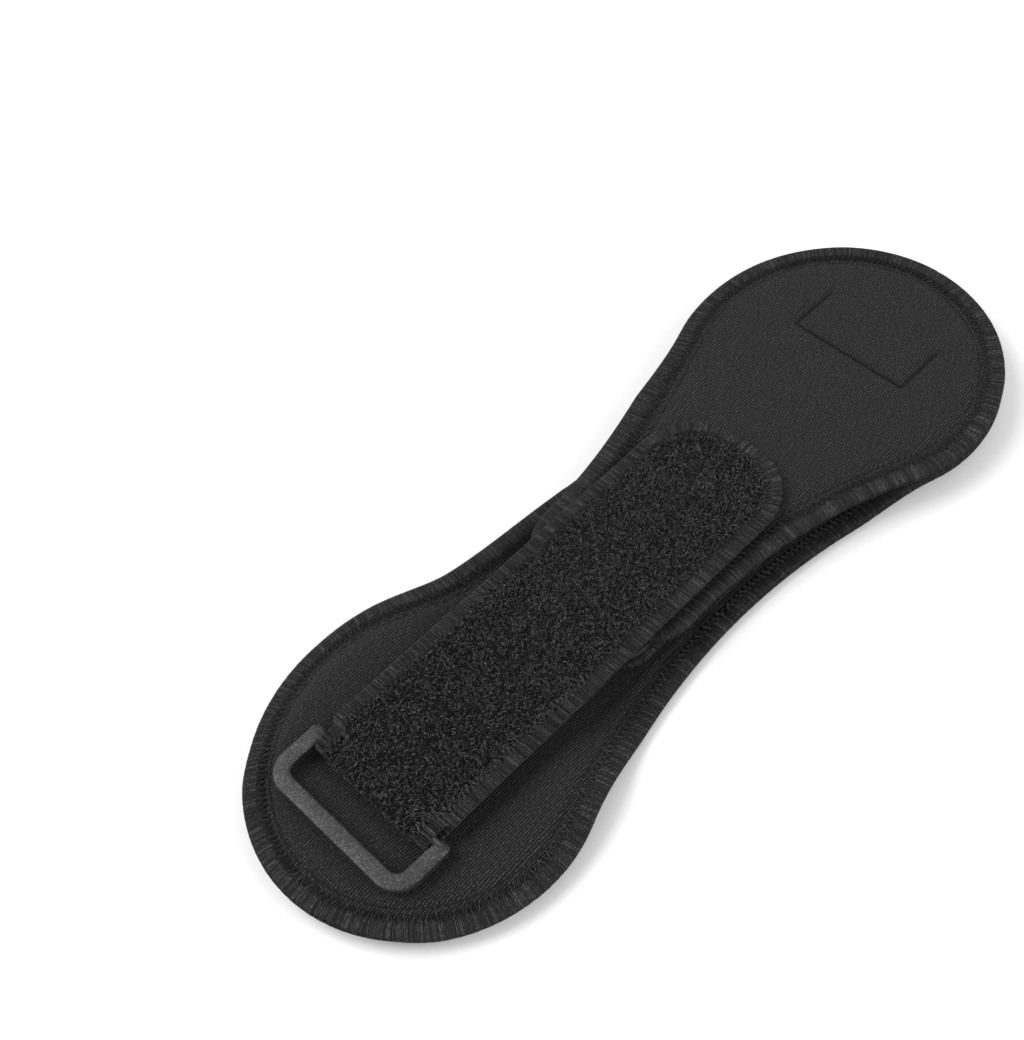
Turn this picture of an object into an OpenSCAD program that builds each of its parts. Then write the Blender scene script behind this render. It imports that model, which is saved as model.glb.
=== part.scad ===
/* [Pads] */
// Overall length of the cuff
cuff_l = 300; // [260:1:340]
// Radius of the round lobes
lobe_r = 54; // [45:0.5:60]
// Half width of the lower pad at the waist
waist_lower = 37.5; // [32:0.5:42]
// Half width of the upper pad at the waist
waist_upper = 30; // [28:0.5:34]
// Smooth knitted face thickness
face_t = 0.6; // [0.4:0.1:1]
// Foam core thickness
foam_t = 2.8; // [2:0.1:5]
// Loop fabric backing thickness
loop_t = 0.6; // [0.4:0.1:1]
// Width of the overlocked edge wall
edge_w = 1.6; // [1:0.1:3]

/* [Folds] */
// Fold line of the near lobe
near_fold_x = -50; // [-60:1:-45]
// Fold line of the far lobe
far_fold_x = 55; // [50:1:60]
// Slit left between two pads at a fold
slit = 0.4; // [0.3:0.05:1]

/* [Strap] */
// Strap width
strap_w = 52; // [50:0.5:54]
// Strap thickness
strap_t = 2; // [1.6:0.1:2.4]
// Strap tip position
strap_tip_x = 47; // [40:1:50]
// Width of the strap fold and tail inside the ring
fold_w = 47.6; // [44:0.2:48]
// Overlocked strap border width
border_w = 2; // [1:0.1:4]
// Hook patch thickness
hook_t = 0.9; // [0.6:0.1:1.2]

/* [Rings] */
// Clear width inside a ring
ring_in = 48.6; // [48:0.2:52]
// Flat bar width
bar_w = 5.2; // [4:0.1:6]
// Flat bar thickness
bar_t = 2.9; // [2.4:0.1:3.2]
// Radius of the round hinge bar
pin_r = 1.7; // [1.4:0.1:1.8]
// Distance from the hinge bar centre to the outer edge
ring_reach = 19; // [17:0.5:26]
// Hinge bar position of the strap ring
strap_ring_x = -113; // [-115:0.5:-108]
// Hinge bar position of the near tab ring
near_ring_x = -114; // [-118:0.5:-110]
// Hinge bar position of the far tab ring
far_ring_x = 120; // [114:0.5:122]

/* [Tabs] */
// Tab width
tab_w = 47; // [40:1:47]
// Tab fabric thickness
tab_t = 1.2; // [0.8:0.1:1.4]
// Sewn length of a tab
tab_sewn = 10; // [8:1:18]

/* [Pouch] */
// Pouch length
pouch_l = 84; // [70:1:88]
// Pouch width
pouch_w = 52; // [44:1:56]
// Pouch shell thickness
shell_t = 0.8; // [0.6:0.1:1.2]
// Clearance of the pouch to both pads
pouch_gap = 0.3; // [0.3:0.05:0.5]

/* [Hidden] */
$fn = 96;
eps = 0.01;
deep = 200;
half_l = cuff_l / 2;
lobe_x = half_l - lobe_r;
pad_t = face_t + foam_t + loop_t;
pin_gap = 0.05;
bore_r = pin_r + pin_gap;
lift = 2 * (bore_r + tab_t);
upper_z = lift + pad_t;
top_z = upper_z + pad_t;
ramp_l = 24;
tail_x = -16;
tail_corner = 14;
pin_z = upper_z + strap_t + bore_r;
strap_z = pin_z + bore_r;
tab_z = lift / 2;
lower_arc = arc_r(0, waist_lower);
upper_mid_x = -5;
upper_arc = arc_r(upper_mid_x, waist_upper);
pouch_x = 3;
pouch_r = 10;
pouch_z = pad_t + pouch_gap;
pouch_t = upper_z - pad_t - 2 * pouch_gap;
seam_w = 1;
thread_r = 0.35;
stitch_in = 1;
tab_slope = 12;
tip_r = 21;
hook_l = 34;
root_x = strap_ring_x + 6;
ring_corner = 7.2;
far_end = half_l + 1;

// Radius of the waist arc that touches the lobe circle and passes the given half width
function arc_r(mid_x, waist) =
    (pow(lobe_x - mid_x, 2) + waist * waist - lobe_r * lobe_r) / (2 * (lobe_r - waist));

// Touching point of the lobe circle and the waist arc at an inset
function touch(mid_x, waist, arc, inset) =
    [lobe_x + (lobe_r - inset) * (mid_x - lobe_x) / (lobe_r + arc),
     (lobe_r - inset) * (waist + arc) / (lobe_r + arc)];

module lower_outline(inset) {
    corner = touch(0, waist_lower, lower_arc, inset);
    for (side = [-1, 1])
        translate([side * lobe_x, 0]) circle(r = lobe_r - inset);
    difference() {
        square([2 * corner[0], 2 * corner[1]], center = true);
        for (side = [-1, 1])
            translate([0, side * (waist_lower + lower_arc)]) circle(r = lower_arc + inset, $fn = 360);
    }
}

module upper_outline(inset) {
    corner = touch(upper_mid_x, waist_upper, upper_arc, inset);
    translate([lobe_x, 0]) circle(r = lobe_r - inset);
    difference() {
        translate([tail_x, -corner[1]]) square([corner[0] - tail_x, 2 * corner[1]]);
        for (side = [-1, 1])
            translate([upper_mid_x, side * (waist_upper + upper_arc)])
                circle(r = upper_arc + inset, $fn = 360);
    }
    for (side = [-1, 1])
        translate([tail_x, side * (waist_upper - tail_corner)]) circle(r = tail_corner - inset);
    translate([tail_x - tail_corner + inset, tail_corner - waist_upper])
        square([tail_corner, 2 * (waist_upper - tail_corner)]);
}

// Band of the lower pad between two heights above its underside
module lower_band(x0, x1, z0, z1) {
    n = near_fold_x;
    f = far_fold_x;
    rotate([90, 0, 0])
        translate([0, 0, -deep / 2])
            linear_extrude(deep)
                intersection() {
                    polygon([
                        [-far_end, lift + z0], [n - ramp_l, lift + z0], [n, z0], [f, z0],
                        [f + ramp_l, lift + z0], [far_end, lift + z0],
                        [far_end, lift + z1], [f + ramp_l, lift + z1], [f, z1], [n, z1],
                        [n - ramp_l, lift + z1], [-far_end, lift + z1]
                    ]);
                    translate([x0, -1]) square([x1 - x0, top_z + 2]);
                }
}

module lower_layer(x0, x1, z0, z1) {
    intersection() {
        linear_extrude(top_z + 2) lower_outline(edge_w);
        lower_band(x0, x1, z0, z1);
    }
}

module lower_wall(x0, x1) {
    intersection() {
        linear_extrude(top_z + 2)
            difference() {
                lower_outline(0);
                lower_outline(edge_w);
            }
        lower_band(x0, x1, 0, pad_t);
    }
}

module upper_layer(x0, x1, z0, z1) {
    intersection() {
        translate([0, 0, upper_z + z0]) linear_extrude(z1 - z0) upper_outline(edge_w);
        translate([x0, -deep / 2, 0]) cube([x1 - x0, deep, top_z + 2]);
    }
}

module upper_wall(x0, x1) {
    intersection() {
        translate([0, 0, upper_z])
            linear_extrude(pad_t)
                difference() {
                    upper_outline(0);
                    upper_outline(edge_w);
                }
        translate([x0, -deep / 2, 0]) cube([x1 - x0, deep, top_z + 2]);
    }
}

// Chamfered flat bar section, standing on its outer side
module bar_section() {
    c = 0.8;
    h = bar_t / 2;
    polygon([
        [0, -h + c], [c, -h], [bar_w - c, -h], [bar_w, -h + c],
        [bar_w, h - c], [bar_w - c, h], [c, h], [0, h - c]
    ]);
}

// Rectangular ring with its hinge bar on the Y axis, reaching to +X
module ring() {
    half = ring_in / 2;
    cx = ring_reach - ring_corner - bar_w / 4;
    turn = ring_reach - cx;
    rotate([90, 0, 0]) translate([0, 0, -half - 1]) cylinder(h = ring_in + 2, r = pin_r);
    for (side = [-1, 1]) {
        mirror([0, side < 0 ? 1 : 0, 0]) {
            translate([cx, half + bar_w - turn, 0])
                rotate_extrude(angle = 90) translate([turn - bar_w, 0]) bar_section();
            difference() {
                translate([-bar_w / 2, half, 0])
                    rotate([90, 0, 90])
                        linear_extrude(cx + bar_w / 2 + eps) bar_section();
                translate([-bar_w / 2, half + bar_w, -bar_t])
                    rotate([0, 0, 45]) cube([2, 2, 2 * bar_t], center = false);
            }
        }
    }
    translate([ring_reach, -(half + bar_w - turn) - eps, 0])
        rotate([-90, 0, 0])
            linear_extrude(2 * (half + bar_w - turn + eps))
                mirror([1, 0]) bar_section();
}

// Fabric wrapped half way round a hinge bar, on its +X side
module wrap(thick, wide) {
    difference() {
        rotate([90, 0, 0]) translate([0, 0, -wide / 2]) cylinder(h = wide, r = bore_r + thick);
        rotate([90, 0, 0]) translate([0, 0, -wide / 2 - 1]) cylinder(h = wide + 2, r = bore_r);
        translate([-deep, -deep / 2, -deep / 2]) cube([deep, deep, deep]);
    }
}

// Folded tab under a lobe, hinge bar at the origin, reaching to -X
module tab() {
    slope = tab_slope;
    end = slope + tab_sewn;
    flat = 2;
    wrap(tab_t, tab_w);
    rotate([90, 0, 0])
        translate([0, 0, -tab_w / 2])
            linear_extrude(tab_w)
                polygon([
                    [0, bore_r], [0, bore_r + tab_t], [-end, bore_r + tab_t],
                    [-end, bore_r - tab_t], [-slope, bore_r - tab_t],
                    [-flat, -bore_r - tab_t], [0, -bore_r - tab_t],
                    [0, -bore_r], [-flat, -bore_r], [-slope, bore_r]
                ]);
}

// Three rows of thread sewn through a tab, open towards the ring
module tab_stitch(x1) {
    y = tab_w / 2 - stitch_in;
    x0 = -tab_slope - tab_sewn + stitch_in;
    for (side = [-1, 1])
        translate([x0, side * y, 0]) rotate([0, 90, 0]) cylinder(h = x1 - x0, r = thread_r, $fn = 24);
    translate([x0, y, 0]) rotate([90, 0, 0]) cylinder(h = 2 * y, r = thread_r, $fn = 24);
}

module strap_shape(inset) {
    half = strap_w / 2;
    translate([near_fold_x + slit / 2, -half + inset])
        square([strap_tip_x - tip_r - near_fold_x - slit / 2, strap_w - 2 * inset]);
    translate([strap_tip_x - tip_r - eps, -half + tip_r])
        square([tip_r - inset + eps, strap_w - 2 * tip_r]);
    for (side = [-1, 1])
        translate([strap_tip_x - tip_r, side * (half - tip_r)]) circle(r = tip_r - inset);
}

module pouch_plan(inset) {
    r = pouch_r - inset;
    for (a = [-1, 1], b = [-1, 1])
        translate([pouch_x + a * (pouch_l / 2 - pouch_r), b * (pouch_w / 2 - pouch_r)]) circle(r = r);
    translate([pouch_x - pouch_l / 2 + inset, -pouch_w / 2 + pouch_r])
        square([pouch_l - 2 * inset, pouch_w - 2 * pouch_r]);
    translate([pouch_x - pouch_l / 2 + pouch_r, -pouch_w / 2 + inset])
        square([pouch_l - 2 * pouch_r, pouch_w - 2 * inset]);
}

module pouch_half() {
    h = pouch_t / 2;
    difference() {
        linear_extrude(h) pouch_plan(seam_w);
        translate([0, 0, shell_t]) linear_extrude(h) pouch_plan(seam_w + shell_t);
    }
}

module lower_mid_face() {
    color("#2c2d31") lower_layer(near_fold_x + slit / 2, far_fold_x - slit / 2, pad_t - face_t, pad_t);
}

module lower_mid_foam() {
    color("#3a3a3c") lower_layer(near_fold_x + slit / 2, far_fold_x - slit / 2, loop_t, loop_t + foam_t);
}

module lower_mid_loop() {
    color("#1e1e20") lower_layer(near_fold_x + slit / 2, far_fold_x - slit / 2, 0, loop_t);
}

module lower_mid_edge() {
    color("#343437") lower_wall(near_fold_x + slit / 2, far_fold_x - slit / 2);
}

module lower_near_face() {
    color("#2c2d31") lower_layer(-far_end, near_fold_x - slit / 2, pad_t - face_t, pad_t);
}

module lower_near_foam() {
    color("#3a3a3c") lower_layer(-far_end, near_fold_x - slit / 2, loop_t, loop_t + foam_t);
}

module lower_near_loop() {
    color("#1e1e20") lower_layer(-far_end, near_fold_x - slit / 2, 0, loop_t);
}

module lower_near_edge() {
    color("#343437") lower_wall(-far_end, near_fold_x - slit / 2);
}

module lower_far_face() {
    color("#2c2d31") lower_layer(far_fold_x + slit / 2, far_end, pad_t - face_t, pad_t);
}

module lower_far_foam() {
    color("#3a3a3c") lower_layer(far_fold_x + slit / 2, far_end, loop_t, loop_t + foam_t);
}

module lower_far_loop() {
    color("#1e1e20") lower_layer(far_fold_x + slit / 2, far_end, 0, loop_t);
}

module lower_far_edge() {
    color("#343437") lower_wall(far_fold_x + slit / 2, far_end);
}

module upper_mid_face() {
    color("#2c2d31") upper_layer(-deep, far_fold_x - slit / 2, pad_t - face_t, pad_t);
}

module upper_mid_foam() {
    color("#3a3a3c") upper_layer(-deep, far_fold_x - slit / 2, loop_t, loop_t + foam_t);
}

module upper_mid_loop() {
    color("#1e1e20") upper_layer(-deep, far_fold_x - slit / 2, 0, loop_t);
}

module upper_mid_edge() {
    color("#343437") upper_wall(-deep, far_fold_x - slit / 2);
}

module upper_far_face() {
    color("#2c2d31") upper_layer(far_fold_x + slit / 2, far_end, pad_t - face_t, pad_t);
}

module upper_far_foam() {
    color("#3a3a3c") upper_layer(far_fold_x + slit / 2, far_end, loop_t, loop_t + foam_t);
}

module upper_far_loop() {
    color("#1e1e20") upper_layer(far_fold_x + slit / 2, far_end, 0, loop_t);
}

module upper_far_edge() {
    color("#343437") upper_wall(far_fold_x + slit / 2, far_end);
}

module strap_tail_mid() {
    x0 = near_fold_x + slit / 2;
    color("#1f1f21")
        translate([x0, -fold_w / 2, upper_z])
            cube([tail_x - tail_corner - x0, fold_w, strap_t]);
}

module strap_tail_near() {
    color("#1f1f21")
        translate([strap_ring_x, -fold_w / 2, upper_z])
            cube([near_fold_x - slit / 2 - strap_ring_x, fold_w, strap_t]);
}

module strap_fold() {
    color("#1f1f21") {
        translate([strap_ring_x, 0, pin_z]) mirror([1, 0, 0]) wrap(strap_t, fold_w);
        translate([strap_ring_x, -fold_w / 2, strap_z]) cube([root_x - strap_ring_x, fold_w, strap_t]);
    }
}

module strap_root() {
    half = strap_w / 2 - border_w;
    color("#1c1c1e")
        translate([root_x, -half, strap_z])
            cube([near_fold_x - slit / 2 - root_x, 2 * half, strap_t]);
}

module strap_root_edge() {
    half = strap_w / 2;
    color("#343437")
        for (side = [-1, 1])
            translate([root_x, side * (half - border_w / 2) - border_w / 2, strap_z])
                cube([near_fold_x - slit / 2 - root_x, border_w, strap_t]);
}

module strap_free() {
    color("#1c1c1e") translate([0, 0, strap_z]) linear_extrude(strap_t) strap_shape(border_w);
}

module strap_free_edge() {
    color("#343437")
        translate([0, 0, strap_z])
            linear_extrude(strap_t)
                difference() {
                    strap_shape(0);
                    strap_shape(border_w);
                }
}

module hook_patch() {
    color("#111113")
        translate([0, 0, strap_z - hook_t])
            linear_extrude(hook_t)
                intersection() {
                    strap_shape(border_w + 2);
                    translate([strap_tip_x - hook_l, -strap_w]) square([hook_l, 2 * strap_w]);
                }
}

module strap_ring() {
    color("#55565a") translate([strap_ring_x, 0, pin_z]) mirror([1, 0, 0]) ring();
}

module near_ring() {
    color("#55565a") translate([near_ring_x, 0, tab_z]) mirror([1, 0, 0]) ring();
}

module far_ring() {
    color("#55565a") translate([far_ring_x, 0, tab_z]) ring();
}

module near_tab() {
    color("#1f1f21") translate([near_ring_x, 0, tab_z]) mirror([1, 0, 0]) tab();
}

module far_tab() {
    color("#1f1f21") translate([far_ring_x, 0, tab_z]) tab();
}

module near_tab_stitch() {
    color("#0c0c0d")
        translate([near_ring_x, 0, tab_z + bore_r - tab_t - thread_r])
            mirror([1, 0, 0]) tab_stitch(-tab_slope);
}

module far_tab_stitch() {
    color("#0c0c0d") translate([far_ring_x, 0, top_z + thread_r]) tab_stitch(-stitch_in);
}

module pouch_bottom() {
    color("#232326") translate([0, 0, pouch_z]) pouch_half();
}

module pouch_top() {
    color("#232326") translate([0, 0, pouch_z + pouch_t]) mirror([0, 0, 1]) pouch_half();
}

module pouch_fill() {
    g = seam_w + shell_t;
    color("#6b655f")
        translate([0, 0, pouch_z + shell_t])
            linear_extrude(pouch_t - 2 * shell_t) pouch_plan(g);
}

module pouch_seam() {
    seam_t = 1.2;
    color("#343437")
        translate([0, 0, pouch_z + (pouch_t - seam_t) / 2])
            linear_extrude(seam_t)
                difference() {
                    pouch_plan(0);
                    pouch_plan(seam_w);
                }
}

lower_mid_face();
lower_mid_foam();
lower_mid_loop();
lower_mid_edge();
lower_near_face();
lower_near_foam();
lower_near_loop();
lower_near_edge();
lower_far_face();
lower_far_foam();
lower_far_loop();
lower_far_edge();
upper_mid_face();
upper_mid_foam();
upper_mid_loop();
upper_mid_edge();
upper_far_face();
upper_far_foam();
upper_far_loop();
upper_far_edge();
strap_tail_mid();
strap_tail_near();
strap_fold();
strap_root();
strap_root_edge();
strap_free();
strap_free_edge();
hook_patch();
strap_ring();
near_ring();
far_ring();
near_tab();
far_tab();
near_tab_stitch();
far_tab_stitch();
pouch_bottom();
pouch_top();
pouch_fill();
pouch_seam();
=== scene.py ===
"""Ankle cuff weight: visible pieces, materials, light and camera."""
import math

import bmesh
import bpy
import numpy as np
from mathutils import Matrix, Vector


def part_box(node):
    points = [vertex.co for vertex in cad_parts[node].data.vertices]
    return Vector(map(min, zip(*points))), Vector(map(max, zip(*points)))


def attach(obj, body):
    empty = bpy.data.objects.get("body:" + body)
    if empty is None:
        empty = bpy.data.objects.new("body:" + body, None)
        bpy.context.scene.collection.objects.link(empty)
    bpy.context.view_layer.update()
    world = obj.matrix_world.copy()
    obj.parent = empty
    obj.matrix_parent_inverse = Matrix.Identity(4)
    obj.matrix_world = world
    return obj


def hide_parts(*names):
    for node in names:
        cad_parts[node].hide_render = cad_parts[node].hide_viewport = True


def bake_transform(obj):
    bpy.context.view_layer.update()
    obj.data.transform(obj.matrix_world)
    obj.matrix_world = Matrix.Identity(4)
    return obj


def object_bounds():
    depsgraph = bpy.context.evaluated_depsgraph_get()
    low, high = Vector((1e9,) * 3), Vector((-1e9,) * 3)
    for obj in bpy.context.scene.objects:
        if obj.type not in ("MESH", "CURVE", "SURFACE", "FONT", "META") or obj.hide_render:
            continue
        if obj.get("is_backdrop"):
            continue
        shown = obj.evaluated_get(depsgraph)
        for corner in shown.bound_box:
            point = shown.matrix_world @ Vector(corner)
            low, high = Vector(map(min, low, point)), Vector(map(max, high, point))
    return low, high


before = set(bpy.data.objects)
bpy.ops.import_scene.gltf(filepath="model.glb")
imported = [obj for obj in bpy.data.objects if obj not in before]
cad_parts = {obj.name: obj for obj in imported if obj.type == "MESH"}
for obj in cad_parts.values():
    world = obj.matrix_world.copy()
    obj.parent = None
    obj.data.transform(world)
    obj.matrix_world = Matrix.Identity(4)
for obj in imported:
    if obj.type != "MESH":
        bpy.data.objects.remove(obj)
CAD_BOX = [list(v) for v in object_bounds()]
MM = 0.001
RNG = np.random.default_rng(7)


# ---------------------------------------------------------------- sizes read from the CAD nodes
def lo(node):
    return np.array(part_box(node)[0])


def hi(node):
    return np.array(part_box(node)[1])


HALF_L = hi("lower_far_edge")[0]
LOBE_R = hi("lower_far_edge")[1]
LOBE_X = HALF_L - LOBE_R
WAIST_LOWER = 37.5 * MM
WAIST_UPPER = 30 * MM
UPPER_MID_X = -5 * MM
UPPER_CORNER = 14 * MM
PAD_T = hi("lower_mid_edge")[2]
LIFT = hi("near_tab")[2]
UPPER_Z = lo("upper_far_edge")[2]
CUT = 0.2 * MM  # half the gap that the CAD leaves at a fold line
NEAR_FOLD = lo("strap_free")[0] - CUT
FAR_FOLD = hi("upper_mid_edge")[0] + CUT
STRAP_T = hi("strap_free")[2] - lo("strap_free")[2]
STRAP_Z = lo("strap_free")[2]
STRAP_W = hi("strap_free_edge")[1] * 2
TIP_X = hi("strap_free_edge")[0]
TIP_R = 21 * MM
FOLD_W = hi("strap_fold")[1] * 2
BAR_ROOM = 1.75 * MM  # inner radius of the cloth folded round a hinge bar
FOLD_REACH = 3.75 * MM  # from a bar's middle to the outside of the strap's fold, as in the CAD
PIN_X = lo("strap_fold")[0] + FOLD_REACH
PIN_Z = (lo("strap_ring")[2] + hi("strap_ring")[2]) / 2
TAIL_X = -30 * MM
TAB_T = 1.2 * MM


# ---------------------------------------------------------------- materials
def new_material(name):
    m = bpy.data.materials.new(name)
    m.use_nodes = True
    t = m.node_tree
    return m, t, t.nodes["Principled BSDF"]


def noise(t, vector, scale, detail=3.0, rough=0.6):
    n = t.nodes.new("ShaderNodeTexNoise")
    n.inputs["Scale"].default_value = scale
    n.inputs["Detail"].default_value = detail
    n.inputs["Roughness"].default_value = rough
    t.links.new(vector, n.inputs["Vector"])
    return n


def wave(t, vector, direction, scale, distortion, detail, detail_scale=1.0):
    n = t.nodes.new("ShaderNodeTexWave")
    n.bands_direction = direction
    n.inputs["Scale"].default_value = scale
    n.inputs["Distortion"].default_value = distortion
    n.inputs["Detail"].default_value = detail
    n.inputs["Detail Scale"].default_value = detail_scale
    t.links.new(vector, n.inputs["Vector"])
    return n


def ramp(t, factor, stops):
    r = t.nodes.new("ShaderNodeValToRGB")
    while len(r.color_ramp.elements) < len(stops):
        r.color_ramp.elements.new(0.5)
    for e, (pos, col) in zip(r.color_ramp.elements, stops):
        e.position = pos
        e.color = (*col, 1)
    t.links.new(factor, r.inputs["Fac"])
    return r


def share(t, a, b, part):
    """Part of b mixed into a."""
    mix = t.nodes.new("ShaderNodeMix")
    mix.data_type = "FLOAT"
    mix.inputs["Factor"].default_value = part
    t.links.new(a, mix.inputs["A"])
    t.links.new(b, mix.inputs["B"])
    return mix.outputs["Result"]


def times(t, a, b):
    """Two colours multiplied."""
    mul = t.nodes.new("ShaderNodeMix")
    mul.data_type = "RGBA"
    mul.blend_type = "MULTIPLY"
    mul.inputs["Factor"].default_value = 1
    t.links.new(a, mul.inputs["A"])
    t.links.new(b, mul.inputs["B"])
    return mul.outputs["Result"]


def bump(t, height, strength, distance, normal=None):
    b = t.nodes.new("ShaderNodeBump")
    b.inputs["Strength"].default_value = strength
    b.inputs["Distance"].default_value = distance
    t.links.new(height, b.inputs["Height"])
    if normal is not None:
        t.links.new(normal, b.inputs["Normal"])
    return b


def uv(t):
    n = t.nodes.new("ShaderNodeUVMap")
    n.uv_map = "flat"
    return n.outputs["UV"]


def grey(v, warm=0.0):
    return (v * (1 + warm), v, v * (1 - warm))


def knit_material():
    m, t, p = new_material("smooth_knit")
    flat = uv(t)
    rib = wave(t, flat, "Y", 0.36, 1.6, 3.0, 2.2)
    stitch = wave(t, flat, "X", 0.58, 1.2, 1.0)
    fine = noise(t, flat, 1.6, 4)
    knit = share(t, rib.outputs["Fac"], stitch.outputs["Fac"], 0.3)
    tone = ramp(t, knit, [(0.15, grey(0.006)), (0.8, grey(0.031))])
    # Fine speckle in the knit's colour: the darker specks are random tone, and the brightest flecks (up to
    # 3.2 times the tone) are painted glints.
    speck = noise(t, flat, 1.5, 4, 0.95)
    speckle_and_glint = ramp(t, speck.outputs["Fac"], [(0.36, grey(0.2)), (0.5, grey(0.85)), (0.62, grey(3.2))])
    t.links.new(times(t, tone.outputs["Color"], speckle_and_glint.outputs["Color"]), p.inputs["Base Color"])
    p.inputs["Roughness"].default_value = 0.88
    p.inputs["Specular IOR Level"].default_value = 0.12
    p.inputs["Sheen Weight"].default_value = 0.02
    ribs = bump(t, knit, 0.8, 0.0005)
    grain = bump(t, fine.outputs["Fac"], 0.35, 0.0003, ribs.outputs["Normal"])
    t.links.new(grain.outputs["Normal"], p.inputs["Normal"])
    return m


def pile_material(name, low, high):
    m, t, p = new_material(name)
    flat = uv(t)
    fuzz = noise(t, flat, 0.9, 5, 0.75)
    clump = noise(t, flat, 0.16, 3)
    mix = share(t, fuzz.outputs["Fac"], clump.outputs["Fac"], 0.3)
    tone = ramp(t, mix, [(0.35, grey(low, -0.03)), (0.68, grey(high, -0.03))])
    t.links.new(tone.outputs["Color"], p.inputs["Base Color"])
    p.inputs["Roughness"].default_value = 0.95
    p.inputs["Specular IOR Level"].default_value = 0.1
    b = bump(t, fuzz.outputs["Fac"], 0.9, 0.0012)
    t.links.new(b.outputs["Normal"], p.inputs["Normal"])
    return m


def thread_material(name, low, high, rough):
    m, t, p = new_material(name)
    geo = t.nodes.new("ShaderNodeNewGeometry")
    stops = [(0.0, grey(low)), (0.8, grey((low + high) / 2)), (1.0, grey(high))]
    tone = ramp(t, geo.outputs["Random Per Island"], stops)
    tc = t.nodes.new("ShaderNodeTexCoord")
    patchy = noise(t, tc.outputs["Object"], 1500, 3, 0.8)
    glint = ramp(t, patchy.outputs["Fac"], [(0.36, grey(0.35)), (0.5, grey(0.9)), (0.64, grey(2.6))])
    t.links.new(times(t, tone.outputs["Color"], glint.outputs["Color"]), p.inputs["Base Color"])
    fine = noise(t, tc.outputs["Object"], 2600, 2)
    b = bump(t, fine.outputs["Fac"], 0.4, 0.0002)
    t.links.new(b.outputs["Normal"], p.inputs["Normal"])
    p.inputs["Roughness"].default_value = rough
    p.inputs["Specular IOR Level"].default_value = 0.3
    return m


def metal_material():
    m, t, p = new_material("gunmetal")
    tc = t.nodes.new("ShaderNodeTexCoord")
    speck = noise(t, tc.outputs["Object"], 1900, 4, 0.8)
    wear = noise(t, tc.outputs["Object"], 120, 5, 0.7)
    tone = ramp(t, speck.outputs["Fac"], [(0.32, grey(0.012)), (0.5, grey(0.022)), (0.66, grey(0.10))])
    t.links.new(tone.outputs["Color"], p.inputs["Base Color"])
    r = ramp(t, wear.outputs["Fac"], [(0.3, grey(0.36)), (0.7, grey(0.56))])
    t.links.new(r.outputs["Color"], p.inputs["Roughness"])
    p.inputs["Metallic"].default_value = 0.5
    b = bump(t, speck.outputs["Fac"], 0.35, 0.0002)
    t.links.new(b.outputs["Normal"], p.inputs["Normal"])
    return m


def plain_material(name, tone, rough, scale):
    m, t, p = new_material(name)
    tc = t.nodes.new("ShaderNodeTexCoord")
    n = noise(t, tc.outputs["Object"], scale, 4)
    r = ramp(t, n.outputs["Fac"], [(0.3, grey(tone * 0.75)), (0.7, grey(tone * 1.3))])
    t.links.new(r.outputs["Color"], p.inputs["Base Color"])
    b = bump(t, n.outputs["Fac"], 0.4, 0.0004)
    t.links.new(b.outputs["Normal"], p.inputs["Normal"])
    p.inputs["Roughness"].default_value = rough
    return m


KNIT = knit_material()
PILE = pile_material("loop_pile", 0.003, 0.020)
STRAP_PILE = pile_material("strap_pile", 0.002, 0.010)
# Pile fibres: most take the fibres' own random tone; the brightest ones, up to 0.14, are painted grey
# glints.
FIBRE = thread_material("pile_fibre", 0.002, 0.14, 0.45)
OVERLOCK = thread_material("overlock_thread", 0.007, 0.046, 0.7)
NEEDLE = thread_material("needle_thread", 0.002, 0.006, 0.8)
METAL = metal_material()
FOAM = plain_material("foam_core", 0.012, 0.95, 900)
SHELL = plain_material("pouch_cloth", 0.010, 0.8, 700)
IRON = plain_material("iron_grains", 0.2, 0.5, 1200)
HOOK = plain_material("hook_plastic", 0.012, 0.5, 1500)


# ---------------------------------------------------------------- mesh making
def mesh_object(name, verts, faces, material, flat=None):
    me = bpy.data.meshes.new(name)
    me.from_pydata([tuple(v) for v in verts], [], [tuple(int(i) for i in f) for f in faces])
    me.update()
    if flat is not None:
        layer = me.uv_layers.new(name="flat")
        idx = np.empty(len(me.loops), int)
        me.loops.foreach_get("vertex_index", idx)
        layer.data.foreach_set("uv", (np.asarray(flat)[idx] * 1000).ravel().astype(np.float32))
    me.polygons.foreach_set("use_smooth", np.ones(len(me.polygons), bool))
    me.materials.append(material)
    ob = bpy.data.objects.new(name, me)
    bpy.context.scene.collection.objects.link(ob)
    return ob


def grid_faces(nu, nv, flip=False, offset=0):
    a = np.arange(nu * nv).reshape(nu, nv) + offset
    q = np.stack([a[:-1, :-1], a[1:, :-1], a[1:, 1:], a[:-1, 1:]], -1).reshape(-1, 4)
    return q[:, ::-1] if flip else q


def closed_faces(count, sides, base=0):
    """Quads between closed rings of points, and a cap at each end."""
    faces = []
    for a in range(base, base + (count - 1) * sides, sides):
        for j in range(sides):
            k = (j + 1) % sides
            faces.append([a + j, a + sides + j, a + sides + k, a + k])
    last = base + (count - 1) * sides
    return faces + [list(range(base, base + sides)), list(range(last, last + sides))]


def fix_normals(ob):
    bm = bmesh.new()
    bm.from_mesh(ob.data)
    bmesh.ops.recalc_face_normals(bm, faces=bm.faces)
    bm.to_mesh(ob.data)
    bm.free()


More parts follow.
